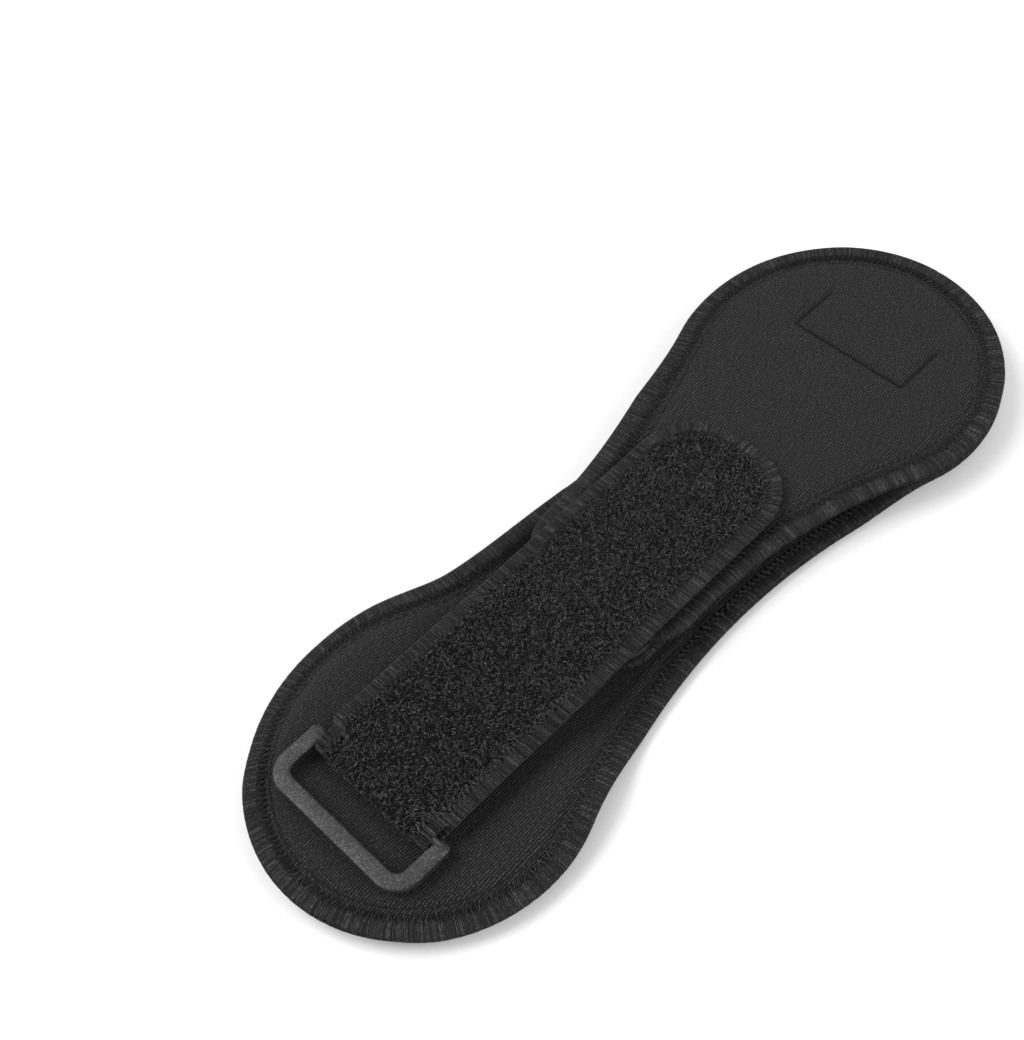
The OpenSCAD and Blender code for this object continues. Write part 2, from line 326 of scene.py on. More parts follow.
def tubes(paths, width, height, sides=4):
    """Many thin threads as one mesh: paths is (count, points, 3); frames follow each path."""
    p = np.asarray(paths, float)
    n, k, _ = p.shape
    tang = np.gradient(p, axis=1)
    tang /= np.linalg.norm(tang, axis=2, keepdims=True) + 1e-12
    up = np.zeros_like(p)
    up[..., 2] = 1
    side = np.cross(tang, up)
    length = np.linalg.norm(side, axis=2, keepdims=True)
    mean = side.mean(1, keepdims=True)
    side = np.where(length < 0.2, mean, side)
    side /= np.linalg.norm(side, axis=2, keepdims=True) + 1e-12
    nrm = np.cross(side, tang)
    a = np.arange(sides) * 2 * math.pi / sides
    w, h = np.broadcast_to(width, (n, k)), np.broadcast_to(height, (n, k))
    v = (p[:, :, None] + side[:, :, None] * (np.cos(a)[None, None, :, None] * w[..., None, None] / 2)
         + nrm[:, :, None] * (np.sin(a)[None, None, :, None] * h[..., None, None] / 2))
    v = v.reshape(-1, 3)
    base = (np.arange(n) * k * sides)[:, None, None]
    i = np.arange(k - 1)[None, :, None] * sides
    j = np.arange(sides)[None, None, :]
    j2 = (j + 1) % sides
    q = np.stack([base + i + j, base + i + j2, base + i + sides + j2, base + i + sides + j], -1)
    faces = q.reshape(-1, 4).tolist()
    for e in (0, k - 1):
        cap = base[:, 0, 0][:, None] + e * sides + np.arange(sides)[None]
        faces += (cap if e else cap[:, ::-1]).tolist()
    return v, faces


# ---------------------------------------------------------------- outlines in the flat
def arc(cx, cy, r, a0, a1, inward, step=0.6 * MM):
    n = max(3, int(abs(a1 - a0) * r / step))
    a = np.linspace(a0, a1, n)
    d = np.stack([np.cos(a), np.sin(a)], 1)
    return np.hstack([np.array([cx, cy]) + r * d, d * inward])


def resample(line, pitch):
    seg = np.linalg.norm(np.diff(line[:, :2], axis=0), axis=1)
    s = np.r_[0, np.cumsum(seg)]
    n = max(2, int(s[-1] / pitch))
    t = (np.arange(n) + 0.5) * s[-1] / n
    out = np.stack([np.interp(t, s, line[:, c]) for c in range(4)], 1)
    out[:, 2:] /= np.linalg.norm(out[:, 2:], axis=1, keepdims=True) + 1e-12
    return out


def between(line, x0, x1):
    """The points of an edge line whose x lies from x0 to x1."""
    return line[(line[:, 0] >= x0 - 0.01 * MM) & (line[:, 0] < x1 + 0.01 * MM)]


class Shape:
    """A flat shape symmetric in y: its edge line with inward normals, and the distance in from it."""

    def __init__(self, upper):
        self.upper = upper
        self.lower = upper[::-1] * np.array([1, -1, 1, -1])

    def edges(self):
        return [self.upper, self.lower]

    def rising(self):
        """The upper edge line in order of x."""
        return self.upper[np.argsort(self.upper[:, 0])]

    def columns(self, x0, x1, step):
        """Points of the upper edge line between x0 and x1, about a step apart along the line."""
        line = self.rising()
        seg = np.linalg.norm(np.diff(line[:, :2], axis=0), axis=1)
        s = np.r_[0, np.cumsum(seg)]
        si = s[(line[:, 0] > x0) & (line[:, 0] < x1)]
        t = np.linspace(si[0], si[-1], max(2, int((si[-1] - si[0]) / step)))
        cols = np.stack([np.interp(t, s, line[:, 0]), np.interp(t, s, line[:, 1])], 1)
        ends = [[x, np.interp(x, line[:, 0], line[:, 1])] for x in (x0, x1)]
        out = np.vstack([ends[0], cols, ends[1]])
        return out[np.r_[True, np.diff(out[:, 0]) > 1e-7]]

    def depth(self, x, y):
        """Distance in from the edge line, found on a sampled copy of it."""
        pts = np.vstack([self.upper, self.lower])[::2, :2]
        q = np.stack([x.ravel(), y.ravel()], 1)
        out = np.empty(len(q))
        for i in range(0, len(q), 2000):
            d = q[i:i + 2000, None] - pts[None]
            out[i:i + 2000] = np.sqrt((d ** 2).sum(-1).min(1))
        return out.reshape(x.shape)


class Band(Shape):
    """A strip open at both ends, so only its long edges count."""

    def depth(self, x, y):
        return np.interp(x, self.upper[::-1, 0], self.upper[::-1, 1]) - np.abs(y)


def waist_arc(mid_x, waist):
    """Radius of the arc that is as wide as the waist in its middle and touches a lobe's circle."""
    return ((LOBE_X - mid_x) ** 2 + waist ** 2 - LOBE_R ** 2) / (2 * (LOBE_R - waist))


def lower_shape():
    rc = waist_arc(0, WAIST_LOWER)
    beta = math.atan2(WAIST_LOWER + rc, -LOBE_X)
    far = arc(LOBE_X, 0, LOBE_R, 0, beta, -1)
    mid = arc(0, WAIST_LOWER + rc, rc, beta - math.pi, -beta, 1)
    near = arc(-LOBE_X, 0, LOBE_R, math.pi - beta, math.pi, -1)
    return Shape(np.vstack([far, mid[1:], near[1:]]))


def upper_shape():
    rc = waist_arc(UPPER_MID_X, WAIST_UPPER)
    beta = math.atan2(WAIST_UPPER + rc, UPPER_MID_X - LOBE_X)
    far = arc(LOBE_X, 0, LOBE_R, 0, beta, -1)
    corner_x = TAIL_X + UPPER_CORNER
    end = math.acos((corner_x - UPPER_MID_X) / rc)
    mid = arc(UPPER_MID_X, WAIST_UPPER + rc, rc, beta - math.pi, -end, 1)
    corner = arc(corner_x, WAIST_UPPER - UPPER_CORNER, UPPER_CORNER, math.pi / 2, math.pi, -1)
    return Shape(np.vstack([far, mid[1:], corner[1:]]))


def strap_shape(x0):
    half = STRAP_W / 2
    cx = TIP_X - TIP_R
    tip = np.array([[TIP_X, y, -1, 0] for y in np.linspace(0, half - TIP_R, 8)])
    turn = arc(cx, half - TIP_R, TIP_R, 0, math.pi / 2, -1)
    side = np.array([[x, half, 0, -1] for x in np.linspace(cx, x0, 200)])
    return Shape(np.vstack([tip, turn[1:], side[1:]]))


# ---------------------------------------------------------------- where the flat shapes lie
def smooth(a, b, x):
    t = np.clip((x - a) / (b - a), 0, 1)
    return t * t * (3 - 2 * t)


def lower_mid_z(x):
    rise = smooth(-NEAR_FOLD - 4 * MM, -NEAR_FOLD + 26 * MM, -x)
    rise = rise + smooth(FAR_FOLD - 4 * MM, FAR_FOLD + 26 * MM, x)
    return PAD_T / 2 + LIFT * rise


def rim_fall(s, y):
    """How far a lobe's rim falls, from 0 to 1: least where a ring and tab lie under it."""
    r = np.hypot(np.maximum(np.abs(s) - LOBE_X, 0), y) / LOBE_R
    clear = 0.35 + 0.65 * smooth(31 * MM, 44 * MM, np.abs(y))
    return smooth(0.72, 1.04, r) * clear * smooth(LOBE_X - 40 * MM, LOBE_X, np.abs(s))


def on_lower(s, y, h):
    """Its rim hangs down where no ring or tab lies under it, and its waist lies wider than it was cut."""
    sag = rim_fall(s, y) * np.where(s < 0, 3.4, 1.1) * MM
    side = np.clip(y / WAIST_LOWER, -1.2, 1.2)
    drift = 0.9 * MM * np.exp(-((s + 10 * MM) / (26 * MM)) ** 2) * np.maximum(side, 0) ** 2
    drift = drift + 1.8 * MM * np.exp(-((s + 66 * MM) / (40 * MM)) ** 2) * np.maximum(side, 0) ** 2
    drift = drift + 1.8 * MM * np.exp(-(s / (60 * MM)) ** 2) * np.minimum(side, 0) ** 2
    lift = 4.6 * MM * np.exp(-((s + 16 * MM) / (34 * MM)) ** 2) * smooth(24 * MM, 38 * MM, y)
    return np.stack([s, y + drift, lower_mid_z(s) - sag + lift + h], -1)


def on_upper(s, y, h):
    """The upper layer lies to the +Y side at the waist, and its lobe's rim drops a little."""
    z = UPPER_Z + PAD_T / 2
    wave = 0.2 * MM * (1 + np.sin(s * 70)) * (np.abs(y) / LOBE_R) ** 2
    waist = np.exp(-((s - 28 * MM) / (48 * MM)) ** 2)
    drift = 5.2 * MM * waist * np.clip(y / WAIST_UPPER, 0, 1.2) ** 2
    sag = 0.45 * MM * rim_fall(s, y)
    return np.stack([s, y + drift, z + wave - sag + h + 0 * s], -1)


def on_strap(s, y, h):
    z = STRAP_Z + STRAP_T / 2
    lift = 0.35 * MM * np.sin((s - NEAR_FOLD) * 45) * smooth(NEAR_FOLD, NEAR_FOLD + 30 * MM, s)
    return np.stack([s, y, z + lift + h], -1)


FOLD_R = BAR_ROOM + STRAP_T / 2


def on_folded_strap(s, y, h):
    """s runs along the tail to the bar, round it and back above it, and is 0 at the outermost point."""
    turn = math.pi * FOLD_R / 2
    a = np.clip(s / FOLD_R, -math.pi / 2, math.pi / 2)
    x = PIN_X - FOLD_R * np.cos(a)
    z = PIN_Z + FOLD_R * np.sin(a)
    x = x + np.maximum(np.abs(s) - turn, 0)
    nx, nz = -np.cos(a), np.sin(a)
    return np.stack([x + nx * h, y, z + nz * h], -1)


# ---------------------------------------------------------------- padded layers
def rolled(d, radius):
    """Rises from 0 to 1 as the side of a round edge does."""
    return np.sqrt(np.clip(1 - (1 - np.clip(d / radius, 0, 1)) ** 2, 0, 1))


def pad_half(d):
    """Half thickness of a padded layer at a distance in from its edge: pressed flat under the overlock."""
    fill = 0.34 * smooth(7 * MM, 12.5 * MM, d)
    groove = 0.2 * np.exp(-((d - 6.1 * MM) / (1.4 * MM)) ** 2)
    groove = groove + 0.22 * np.exp(-((d - 8.4 * MM) / (0.6 * MM)) ** 2)
    return PAD_T / 2 * (0.66 * rolled(d, 1.3 * MM) + fill - groove)


def strap_half(d):
    return STRAP_T / 2 * (0.64 * rolled(d, 0.8 * MM) + 0.36 * smooth(5.4 * MM, 7 * MM, d))


def tab_half(d):
    return TAB_T / 2 * (0.8 * rolled(d, 0.6 * MM) + 0.2 * smooth(3.4 * MM, 5 * MM, d))


def pouch_half(d):
    return 0.6 * MM * rolled(d, 0.6 * MM) + 2.0 * MM * smooth(0.5 * MM, 2.4 * MM, d)


def rows(n):
    """Places across a shape from -1 to 1, closer together near its edges."""
    a = np.linspace(-1, 1, n)
    return np.sign(a) * (1 - (1 - np.abs(a)) ** 1.35)


FINE_ROWS, COARSE_ROWS, CORE_ROWS = 93, 61, 31


def skin(name, shape, place, thick, x0, x1, top, material, step, dent=None, turned=False):
    cols = shape.columns(x0, x1, step)
    v = rows(FINE_ROWS if step < 1.5 * MM else COARSE_ROWS)
    x = np.repeat(cols[:, :1], len(v), 1)
    y = cols[:, 1:] * v[None]
    d = shape.depth(x, y)
    h = thick(d)
    if dent is not None:
        h = h - dent(x, y)
    h = h if top else -h
    pts = place(x, y, h).reshape(-1, 3)
    flat = np.stack([x.ravel(), y.ravel()], 1)
    faces = grid_faces(len(cols), len(v), (not top) ^ turned)
    return mesh_object(name, pts, faces, material, flat)


def foam(name, shape, place, thick, x0, x1):
    """The core keeps clear of the cloth all round, except at the layer's waist end."""
    narrower, shorter, thinner = 0.955, 0.985, 0.6
    waist_end = x0 if x1 > 0 else x1
    cols = shape.columns(x0, x1, 3 * MM)
    v = rows(CORE_ROWS)
    x = waist_end + (np.repeat(cols[:, :1], len(v), 1) - waist_end) * shorter
    y = cols[:, 1:] * v[None] * narrower
    h = thick(np.maximum(shape.depth(x, y) - 0.9 * MM, 0)) * thinner
    a = place(x, y, h).reshape(-1, 3)
    b = place(x, y, -h).reshape(-1, 3)
    n, k = len(cols), len(v)
    faces = grid_faces(n, k).tolist() + grid_faces(n, k, True, n * k).tolist()
    idx = np.arange(n * k).reshape(n, k)
    rim = np.r_[idx[:, 0], idx[-1, 1:], idx[::-1, -1][1:], idx[0, ::-1][1:]]
    for i, j in zip(rim[:-1], rim[1:]):
        faces.append([i, i + n * k, j + n * k, j])
    return mesh_object(name, np.vstack([a, b]), faces, FOAM)


# ---------------------------------------------------------------- sewn edges
def over_threads(pts, place, thick, reach, pitch, both):
    """Threads laid side by side over an edge, each from inside on top to inside below."""
    n = len(pts)
    tang = np.stack([-pts[:, 3], pts[:, 2]], 1)
    ins = reach + RNG.normal(0, 0.09 * reach, n)
    frac = np.array([1.0, 0.8, 0.6, 0.4, 0.22, 0.1, 0.03, 0.0])
    d = ins[:, None] * frac[None]
    h = thick(d) + 0.10 * MM
    h[:, -1] = 0
    d = d - 0.16 * MM * (frac < 0.15)
    if both:
        d = np.hstack([d, d[:, -2::-1]])
        h = np.hstack([h, -h[:, -2::-1]])
    lean = np.linspace(0.22, -0.22, d.shape[1])[None] * MM + RNG.normal(0, 0.07 * MM, (n, 1))
    px = pts[:, 0, None] + pts[:, 2, None] * d + tang[:, 0, None] * lean
    py = pts[:, 1, None] + pts[:, 3, None] * d + tang[:, 1, None] * lean
    width = pitch * RNG.uniform(0.62, 1.0, (n, 1))
    height = RNG.uniform(0.22, 0.40, (n, 1)) * MM
    return tubes(place(px, py, h), width, height)


def looper_thread(line, place, thick, reach, shift):
    """A zigzag on the over-threads' inner ends."""
    fine = resample(line, 0.2 * reach)
    odd = np.arange(len(fine)) % 2
    d = reach * (0.86 + 0.5 * odd) + RNG.normal(0, 0.05 * reach, len(fine))
    x = fine[:, 0] + fine[:, 2] * d + shift * fine[:, 3]
    y = fine[:, 1] + fine[:, 3] * d - shift * fine[:, 2]
    h = thick(d) + 0.16 * MM + RNG.uniform(0, 0.2, len(fine)) * MM
    return tubes(place(x, y, h)[None], 0.62 * MM, 0.5 * MM)


def rim_thread(line, place, pitch):
    """One wavy thread along the very edge."""
    rim = resample(line, pitch)
    h = 0.25 * MM * np.sin(np.arange(len(rim)) * 1.7)
    return tubes(place(rim[:, 0], rim[:, 1], h)[None], 0.36 * MM, 0.36 * MM)


def overlock(name, edges, place, thick, x0, x1, reach=5.0 * MM, pitch=0.55 * MM, both=True):
    """A sewn edge: threads over it, two looper threads inside and one along the rim."""
    verts, faces = [], []

    def add(v, f):
        base = sum(len(a) for a in verts)
        verts.append(v)
        faces.extend([[i + base for i in q] for q in f])

    for line in edges:
        pts = between(resample(line, pitch), x0, x1)
        if len(pts) < 3:
            continue
        part = between(line, x0, x1)
        add(*over_threads(pts, place, thick, reach, pitch, both))
        for shift in (0, 0.45 * MM):
            add(*looper_thread(part, place, thick, reach, shift))
        add(*rim_thread(part, place, pitch))
    return mesh_object(name, np.vstack(verts), faces, OVERLOCK)


def needle_line(name, edges, place, thick, x0, x1):
    """A row of single stitches beside the sewn edge, six points to a stitch."""
    inset, pitch = 8.4 * MM, 2.4 * MM
    arch = np.array([-0.12, 0.08, 0.14, 0.14, 0.08, -0.12]) * MM
    paths = []
    for line in edges:
        part = between(line, x0, x1)
        if len(part) < 4:
            continue
        fine = resample(part, pitch / 6)
        n = len(fine) // 6
        fine = fine[:n * 6].reshape(n, 6, 4)
        d = inset + RNG.normal(0, 0.05 * MM, (n, 1))
        px = fine[..., 0] + fine[..., 2] * d
        py = fine[..., 1] + fine[..., 3] * d
        paths.append(place(px, py, thick(d + 0 * px) + arch[None]))
    v, f = tubes(np.vstack(paths), 0.75 * MM, 0.42 * MM)
    return mesh_object(name, v, f, NEEDLE)


def fibres(name, count, inside, place, height, tall, x0, x1, half):
    """Short curled loops standing on brushed fabric."""
    s = RNG.uniform(x0, x1, count * 2)
    y = RNG.uniform(-half, half, count * 2)
    keep = inside(s, y)
    s, y = s[keep][:count], y[keep][:count]
    n = len(s)
    turn = RNG.uniform(0, 2 * math.pi, n)
    size = RNG.uniform(0.6, 1.6, n) * MM
    k = np.linspace(0, 1, 5)[None]
    curl = RNG.uniform(-2.6, 2.6, (n, 1))
    ang = turn[:, None] + curl * k
    px = s[:, None] + np.cumsum(np.cos(ang), 1) * size[:, None] / 4
    py = y[:, None] + np.cumsum(np.sin(ang), 1) * size[:, None] / 4
    arch = np.sin(k * math.pi) * RNG.uniform(0.3, 1.0, (n, 1)) * tall
    width = RNG.uniform(0.10, 0.18, (n, 1)) * MM
    v, f = tubes(place(px, py, height + arch), width, 0.12 * MM, 3)
    return mesh_object(name, v, f, FIBRE)


# ---------------------------------------------------------------- the two padded layers
LOWER, UPPER = lower_shape(), upper_shape()
PAD_PARTS = {"near": (-HALF_L, 0.0), "far": (0.0, HALF_L)}


def bend_part(ob, part):
    if part == "near":
        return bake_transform(ob)
    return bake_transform(ob)


def u_dent(x, y):
    """The knitted face is drawn down along the three-sided thread row of the far tab."""
    x0, x1, w = U_ROW
    along = np.abs(np.abs(y) - w) + 4 * np.maximum(0, x0 - x) + 4 * np.maximum(0, x - x1)
    across = np.abs(x - x0) + 4 * np.maximum(0, np.abs(y) - w)
    return 0.75 * MM * np.exp(-(np.minimum(along, across) / (1.5 * MM)) ** 2)


def tail_dent(x, y):
    """The strap's tail presses into the face of the lower layer."""
    along = smooth(PIN_X - 8 * MM, PIN_X - 4 * MM, x)
    return 0.65 * MM * (1 - smooth(26.5 * MM, 29 * MM, np.abs(y))) * along


def tab_dent(x, y):
    """A folded tab presses into the loop side of the lower layer."""
    along = smooth(86 * MM, 89 * MM, np.abs(x)) * (1 - smooth(126 * MM, 129 * MM, np.abs(x)))
    return 0.6 * MM * (1 - smooth(25.5 * MM, 28 * MM, np.abs(y))) * along


STITCH_R = 0.35 * MM
U_ROW = (lo("far_tab_stitch")[0] + STITCH_R, hi("far_tab_stitch")[0], hi("far_tab_stitch")[1] - STITCH_R)


def half_flat(shape, x0, x1):
    """Flat size and area of a shape's stretch from x0 to x1."""
    line = shape.rising()
    xs = np.linspace(x0, x1, 400)
    ys = np.interp(xs, line[:, 0], line[:, 1])
    area = float(2 * np.mean(ys) * (x1 - x0))
    return (float(2 * ys.max()), float(x1 - x0)), area


def make_layer(tag, shape, place, parts, bodies):
    for part, (x0, x1) in parts.items():
        nodes = bodies[part]
        dent = {"upper_far": u_dent, "lower_near": tail_dent}.get(f"{tag}_{part}")
        face = skin(f"{tag}_{part}_face_cloth", shape, place, pad_half, x0, x1, True, KNIT,
                    1.2 * MM, dent)
        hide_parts(*[f"{n}_face" for n in nodes])
        loop = skin(f"{tag}_{part}_loop_cloth", shape, place, pad_half, x0, x1, False, PILE,
                    1.8 * MM, tab_dent if tag == "lower" else None)
        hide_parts(*[f"{n}_loop" for n in nodes])
        core = foam(f"{tag}_{part}_foam_core", shape, place, pad_half, x0, x1)
        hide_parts(*[f"{n}_foam" for n in nodes])
        edge = overlock(f"{tag}_{part}_overlock", shape.edges(), place, pad_half, x0, x1)
        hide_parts(*[f"{n}_edge" for n in nodes])
        row = needle_line(f"{tag}_{part}_needle_row", shape.edges(), place, pad_half, x0, x1)
        flat, area = half_flat(shape, x0, x1)
        for ob in (face, loop, core, edge, row):
            bend_part(ob, part)


make_layer("lower", LOWER, on_lower, PAD_PARTS,
           {"near": ["lower_near", "lower_mid"], "far": ["lower_mid", "lower_far"]})
make_layer("upper", UPPER, on_upper, {"far": (TAIL_X, HALF_L)}, {"far": ["upper_mid", "upper_far"]})


# ---------------------------------------------------------------- strap
TURN = math.pi * FOLD_R / 2
TAIL_S = -(TURN + (TAIL_X - 1 * MM - PIN_X))
TOP_S = TURN + (NEAR_FOLD - PIN_X)


def folded_shape():
    s = np.linspace(TOP_S, TAIL_S, 520)
    half = FOLD_W / 2 + (STRAP_W - FOLD_W) / 2 * smooth(TURN + 4.4 * MM, TURN + 6.5 * MM, s)
    return Band(np.stack([s, half, 0 * s, -np.ones_like(s)], 1))


def pile_area(shape, margin):
    """True inside the shape and further than the margin from its sewn edge."""
    line = shape.rising()
    return lambda s, y: (shape.depth(s, y) > margin) & (np.abs(y) < np.interp(s, line[:, 0], line[:, 1]))


def strap_set(tag, shape, place, s0, s1, edge_from, pile_from, count, nodes, edge_nodes):
    edge_reach, edge_pitch, pile_margin = 4.4 * MM, 0.6 * MM, 5.4 * MM
    root, tall = STRAP_T / 2 - 0.12 * MM, 0.9 * MM
    top = skin(f"{tag}_loop_face", shape, place, strap_half, s0, s1, True, STRAP_PILE,
               1.0 * MM)
    under = skin(f"{tag}_under_face", shape, place, strap_half, s0, s1, False, PILE,
                 1.6 * MM)
    edge = overlock(f"{tag}_overlock", shape.edges(), place, strap_half, edge_from, s1,
                    edge_reach, edge_pitch)
    pile = fibres(f"{tag}_pile", count, pile_area(shape, pile_margin), place, root, tall,
                  pile_from, s1, STRAP_W / 2)
    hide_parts(*nodes)
    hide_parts(*nodes)
    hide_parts(*edge_nodes)
    for ob in (top, under, edge, pile):
        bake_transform(ob)


strap_set("strap_folded", folded_shape(), on_folded_strap, TAIL_S, TOP_S, TAIL_S + 13 * MM, -2 * MM, 9500,
          ["strap_tail_mid", "strap_tail_near", "strap_fold", "strap_root"], ["strap_root_edge"])
strap_set("strap_free_part", strap_shape(NEAR_FOLD), on_strap, NEAR_FOLD, TIP_X, NEAR_FOLD,
          NEAR_FOLD, 14500,
          ["strap_free"], ["strap_free_edge"])


# ---------------------------------------------------------------- rings
RING_W, RING_T, RING_CORNER = 5.2 * MM, 2.9 * MM, 5.9 * MM
HINGE_R = 1.55 * MM
BAR_SIDES, HINGE_SIDES = 28, 36


def ring_path(half_w, reach):
    """Middle line of the bar, from one arm's end round the far side to the other's."""
    cx, cy = reach - RING_CORNER, half_w - RING_CORNER
    q = np.linspace(0, math.pi / 2, 12)
    corner = np.stack([cx + RING_CORNER * np.sin(q), cy + RING_CORNER * np.cos(q)], 1)
    side = np.stack([np.linspace(0.4 * MM - RING_W / 2, cx, 14)[:-1], np.full(13, half_w)], 1)
    far = np.stack([np.full(24, reach), np.linspace(cy, -cy, 26)[1:-1]], 1)
    return np.vstack([side, corner, far, corner[::-1] * [1, -1], side[::-1] * [1, -1]])


def ring_bar(path):
    """A flat bar with rounded corners along the path, thinned at the two arm ends."""
    tang = np.gradient(path, axis=0)
    tang /= np.linalg.norm(tang, axis=1, keepdims=True)
    a = np.linspace(0, 2 * math.pi, BAR_SIDES, endpoint=False)
    squareness = 2 / 6.5
    across = np.sign(np.cos(a)) * np.abs(np.cos(a)) ** squareness * RING_W / 2
    upright = np.sign(np.sin(a)) * np.abs(np.sin(a)) ** squareness * RING_T / 2
    scale = np.ones(len(path))
    scale[:2], scale[-2:] = (0.55, 0.86), (0.86, 0.55)
    wide = across[None] * scale[:, None]
    x = path[:, 0, None] - tang[:, 1, None] * wide
    y = path[:, 1, None] + tang[:, 0, None] * wide
    return np.stack([x, y, upright[None] * scale[:, None]], -1).reshape(-1, 3)


def hinge_bar(half_w):
    a = np.linspace(0, 2 * math.pi, HINGE_SIDES, endpoint=False)
    ends = [np.stack([HINGE_R * np.cos(a), 0 * a + y, HINGE_R * np.sin(a)], 1) for y in (-half_w, half_w)]
    return np.vstack(ends)


def ring_piece(name, node, body, pin_x, way):
    half_w = hi(node)[1] - RING_W / 2
    reach = abs((hi(node)[0] if way > 0 else lo(node)[0]) - pin_x) - RING_W / 2
    path = ring_path(half_w, reach)
    bar, hinge = ring_bar(path), hinge_bar(half_w)
    verts = np.vstack([bar, hinge]) * [way, 1, 1]
    verts = verts + [pin_x, 0, (lo(node)[2] + hi(node)[2]) / 2]
    faces = closed_faces(len(path), BAR_SIDES) + closed_faces(2, HINGE_SIDES, len(bar))
    ob = mesh_object(name, verts, faces, METAL)
    fix_normals(ob)
    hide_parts(node)
    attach(ob, body)


TAB_FOLD = BAR_ROOM + TAB_T
NEAR_PIN = lo("near_tab")[0] + TAB_FOLD
FAR_PIN = hi("far_tab")[0] - TAB_FOLD
ring_piece("strap_ring_metal", "strap_ring", "strap_ring_body", PIN_X, -1)
ring_piece("near_ring_metal", "near_ring", "near_ring_body", NEAR_PIN, -1)
ring_piece("far_ring_metal", "far_ring", "far_ring_body", FAR_PIN, 1)


# ---------------------------------------------------------------- folded tabs under the lobes
TAB_R = BAR_ROOM + TAB_T / 2
TAB_TURN = math.pi * TAB_R / 2
TAB_W = hi("near_tab")[1] * 2
TAB_LONG = hi("near_tab")[0] - NEAR_PIN


def on_tab(pin_x, way):
    """A tab folded round its ring's bar; the lower leaf rises to lie against the upper one."""
    def place(s, y, h):
        a = np.clip(s / TAB_R, -math.pi / 2, math.pi / 2)
        run = np.maximum(np.abs(s) - TAB_TURN, 0)
        x = pin_x + way * (TAB_R * np.cos(a) - run)
        z = LIFT / 2 + TAB_R * np.sin(a)
        z = z + np.where(s < 0, 3.5 * MM * smooth(2 * MM, 12 * MM, run), 0)
        return np.stack([x + way * np.cos(a) * h, y, z + np.sin(a) * h], -1)
    return place


def tab_piece(tag, pin_x, way, body, node):
    end = TAB_TURN + TAB_LONG
    shape = Band(np.array([[s, TAB_W / 2, 0, -1] for s in np.linspace(end, -end, 260)]))
    place = on_tab(pin_x, way)
    outer = skin(f"{tag}_loop_face", shape, place, tab_half, -end, end, True, STRAP_PILE,
                 1.0 * MM, None, way > 0)
    inner = skin(f"{tag}_inner_face", shape, place, tab_half, -end, end, False, PILE,
                 1.0 * MM, None, way > 0)
    edge = overlock(f"{tag}_overlock", shape.edges(), place, tab_half, -end, end, 2.4 * MM, 0.8 * MM, False)
    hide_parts(node)
    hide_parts(node)
    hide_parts(node)
    for ob in (outer, inner, edge):
        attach(ob, body)


tab_piece("near_tab_webbing", NEAR_PIN, -1, "near_lobe", "near_tab")
tab_piece("far_tab_webbing", FAR_PIN, 1, "far_lobe", "far_tab")


# ---------------------------------------------------------------- thread rows
def sewn_rows(name, node, body, place, height, open_at_high):
    """Three sides of a box of stitches, where the CAD's thread row lies."""
    x0, x1, w = lo(node)[0] + STITCH_R, hi(node)[0] - STITCH_R, hi(node)[1] - STITCH_R
    shut, free = (x0, x1) if open_at_high else (x1, x0)
    corners = np.array([(free, w), (shut, w), (shut, -w), (free, -w)])
    along = np.array([0.08, 0.2, 0.4, 0.6, 0.8, 0.94])
    arch = np.array([-0.25, 0.1, 0.2, 0.2, 0.1, -0.25]) * MM
    paths = []
    for a, b in zip(corners[:-1], corners[1:]):
        count = int(np.linalg.norm(b - a) / (2.3 * MM))
        for i in range(count):
            t = (i + along) / count
            p = a + (b - a) * t[:, None] + RNG.normal(0, 0.05 * MM, (1, 2))
            paths.append(place(p[:, 0], p[:, 1], height + arch))
    v, f = tubes(np.array(paths), 0.95 * MM, 0.5 * MM, 6)
    ob = mesh_object(name, v, f, NEEDLE)
    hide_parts(node)
    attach(ob, body)


def under_near_tab(s, y, h):
    return np.stack([s, y, hi("near_tab_stitch")[2] - h + 0 * s], -1)


sewn_rows("far_tab_thread", "far_tab_stitch", "far_lobe", on_upper, PAD_T / 2 - 0.48 * MM, True)
sewn_rows("near_tab_thread", "near_tab_stitch", "near_lobe", under_near_tab, 0.2 * MM, False)


# ---------------------------------------------------------------- weight pouch
def pouch_shape():
    a, b = lo("pouch_seam"), hi("pouch_seam")
    r = 10 * MM
    end = np.array([[b[0], y, -1, 0] for y in np.linspace(0, b[1] - r, 20)])
    turn = arc(b[0] - r, b[1] - r, r, 0, math.pi / 2, -1)
    side = np.array([[x, b[1], 0, -1] for x in np.linspace(b[0] - r, a[0] + r, 120)])
    turn2 = arc(a[0] + r, b[1] - r, r, math.pi / 2, math.pi, -1)
    end2 = np.array([[a[0], y, 1, 0] for y in np.linspace(b[1] - r, 0, 20)])
    return Shape(np.vstack([end, turn[1:], side[1:], turn2[1:], end2[1:]]))


def on_pouch(s, y, h):
    """Three faint lines across the pouch part its fill into cells."""
    mid = (lo("pouch_seam")[2] + hi("pouch_seam")[2]) / 2
    lines = (-18, 3, 24)
    cells = 1 - 0.04 * sum(np.exp(-((s - c * MM) / (1.3 * MM)) ** 2) for c in lines)
    return np.stack([s, y, mid + h * cells], -1)


def make_pouch():
    shape = pouch_shape()
    x0, x1 = lo("pouch_seam")[0], hi("pouch_seam")[0]
    for up, word, cad in ((True, "upper", "pouch_top"), (False, "lower", "pouch_bottom")):
        cloth = skin(f"pouch_{word}_cloth", shape, on_pouch, pouch_half, x0, x1, up, SHELL,
                     1.4 * MM)
        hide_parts(cad)
        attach(cloth, "pouch_body")
    seam = overlock("pouch_overlock", shape.edges(), on_pouch, pouch_half, x0, x1, 1.0 * MM, 0.8 * MM)
    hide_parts("pouch_seam")
    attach(seam, "pouch_body")


make_pouch()


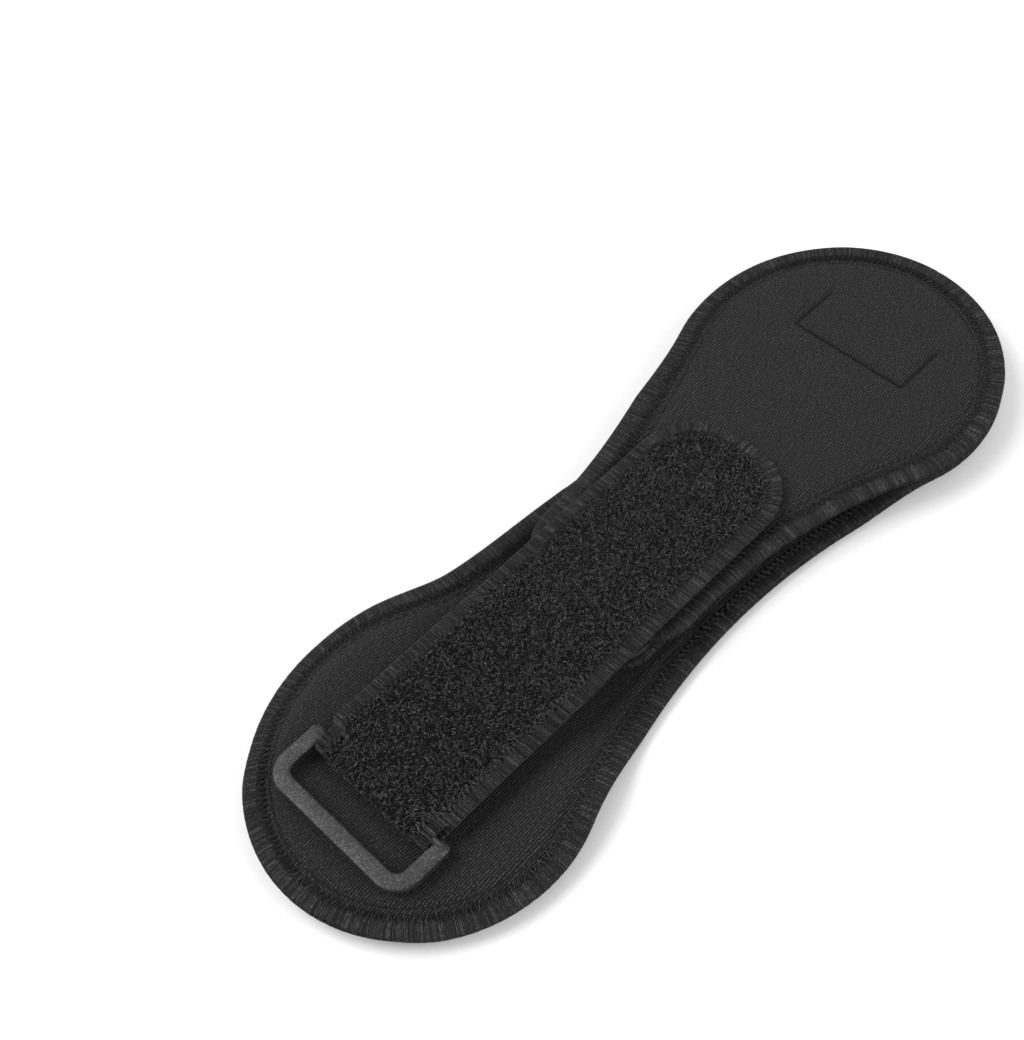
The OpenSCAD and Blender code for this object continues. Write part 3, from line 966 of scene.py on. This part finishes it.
def repaint(node, material):
    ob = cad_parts[node]
    for s in ob.material_slots:
        s.material = material


repaint("hook_patch", HOOK)
repaint("pouch_fill", IRON)


# ---------------------------------------------------------------- floor, light and camera
FLOOR_DROP = 0.6 * MM  # the lowest threads reach 0.5 mm below z 0


def floor():
    me = bpy.data.meshes.new("floor")
    me.from_pydata([(-3, -3, 0), (3, -3, 0), (3, 3, 0), (-3, 3, 0)], [], [(0, 1, 2, 3)])
    ob = bpy.data.objects.new("floor", me)
    bpy.context.scene.collection.objects.link(ob)
    m, _, p = new_material("pale_floor")
    p.inputs["Base Color"].default_value = (0.93, 0.93, 0.93, 1)
    p.inputs["Roughness"].default_value = 0.9
    p.inputs["Specular IOR Level"].default_value = 0.1
    me.materials.append(m)
    ob.location.z = -FLOOR_DROP
    ob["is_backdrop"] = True


def area_light(name, place, size, power):
    """A disk light that looks at the cuff's middle."""
    light = bpy.data.lights.new(name, "AREA")
    light.shape = "DISK"
    light.size = size
    light.energy = power
    ob = bpy.data.objects.new(name, light)
    bpy.context.scene.collection.objects.link(ob)
    ob.location = place
    ob.rotation_euler = (-Vector(place)).to_track_quat("-Z", "Y").to_euler()
    ob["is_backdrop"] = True


def lights():
    area_light("key", (-0.5, 0.8, 1.15), 1.2, 17)
    area_light("fill", (0.5, -1.1, 0.8), 1.0, 11)
    world = bpy.data.worlds.new("studio")
    bpy.context.scene.world = world
    world.use_nodes = True
    bpy.context.scene.view_settings.view_transform = "Standard"
    bg = world.node_tree.nodes["Background"]
    bg.inputs["Color"].default_value = (1, 1, 1, 1)
    bg.inputs["Strength"].default_value = 0.62


def camera():
    """The view of the photo, looking at a point just above the middle of the cuff's underside."""
    az, el, roll = math.radians(-41.37), math.radians(56.33), math.radians(-6.86)
    away, aim_z = 0.4497, 0.002
    ahead = Vector((-math.sin(az) * math.cos(el), math.cos(az) * math.cos(el), -math.sin(el)))
    right = Vector((math.cos(az), math.sin(az), 0))
    up = right.cross(ahead)
    r = right * math.cos(roll) + up * math.sin(roll)
    u = up * math.cos(roll) - right * math.sin(roll)
    data = bpy.data.cameras.new("photo_view")
    data.lens = 48.65
    data.sensor_width = 36
    data.shift_x = -0.1341
    data.shift_y = 0.0374
    data.clip_start = 0.01
    ob = bpy.data.objects.new("photo_view", data)
    bpy.context.scene.collection.objects.link(ob)
    m = Matrix((r, u, -ahead)).transposed().to_4x4()
    m.translation = -ahead * away + Vector((0, 0, aim_z))
    ob.matrix_world = m
    bpy.context.scene.camera = ob


floor()
lights()
camera()

({"cad": [[float(c) for c in v] for v in CAD_BOX],
           "visual": [[float(c) for c in v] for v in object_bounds()]})
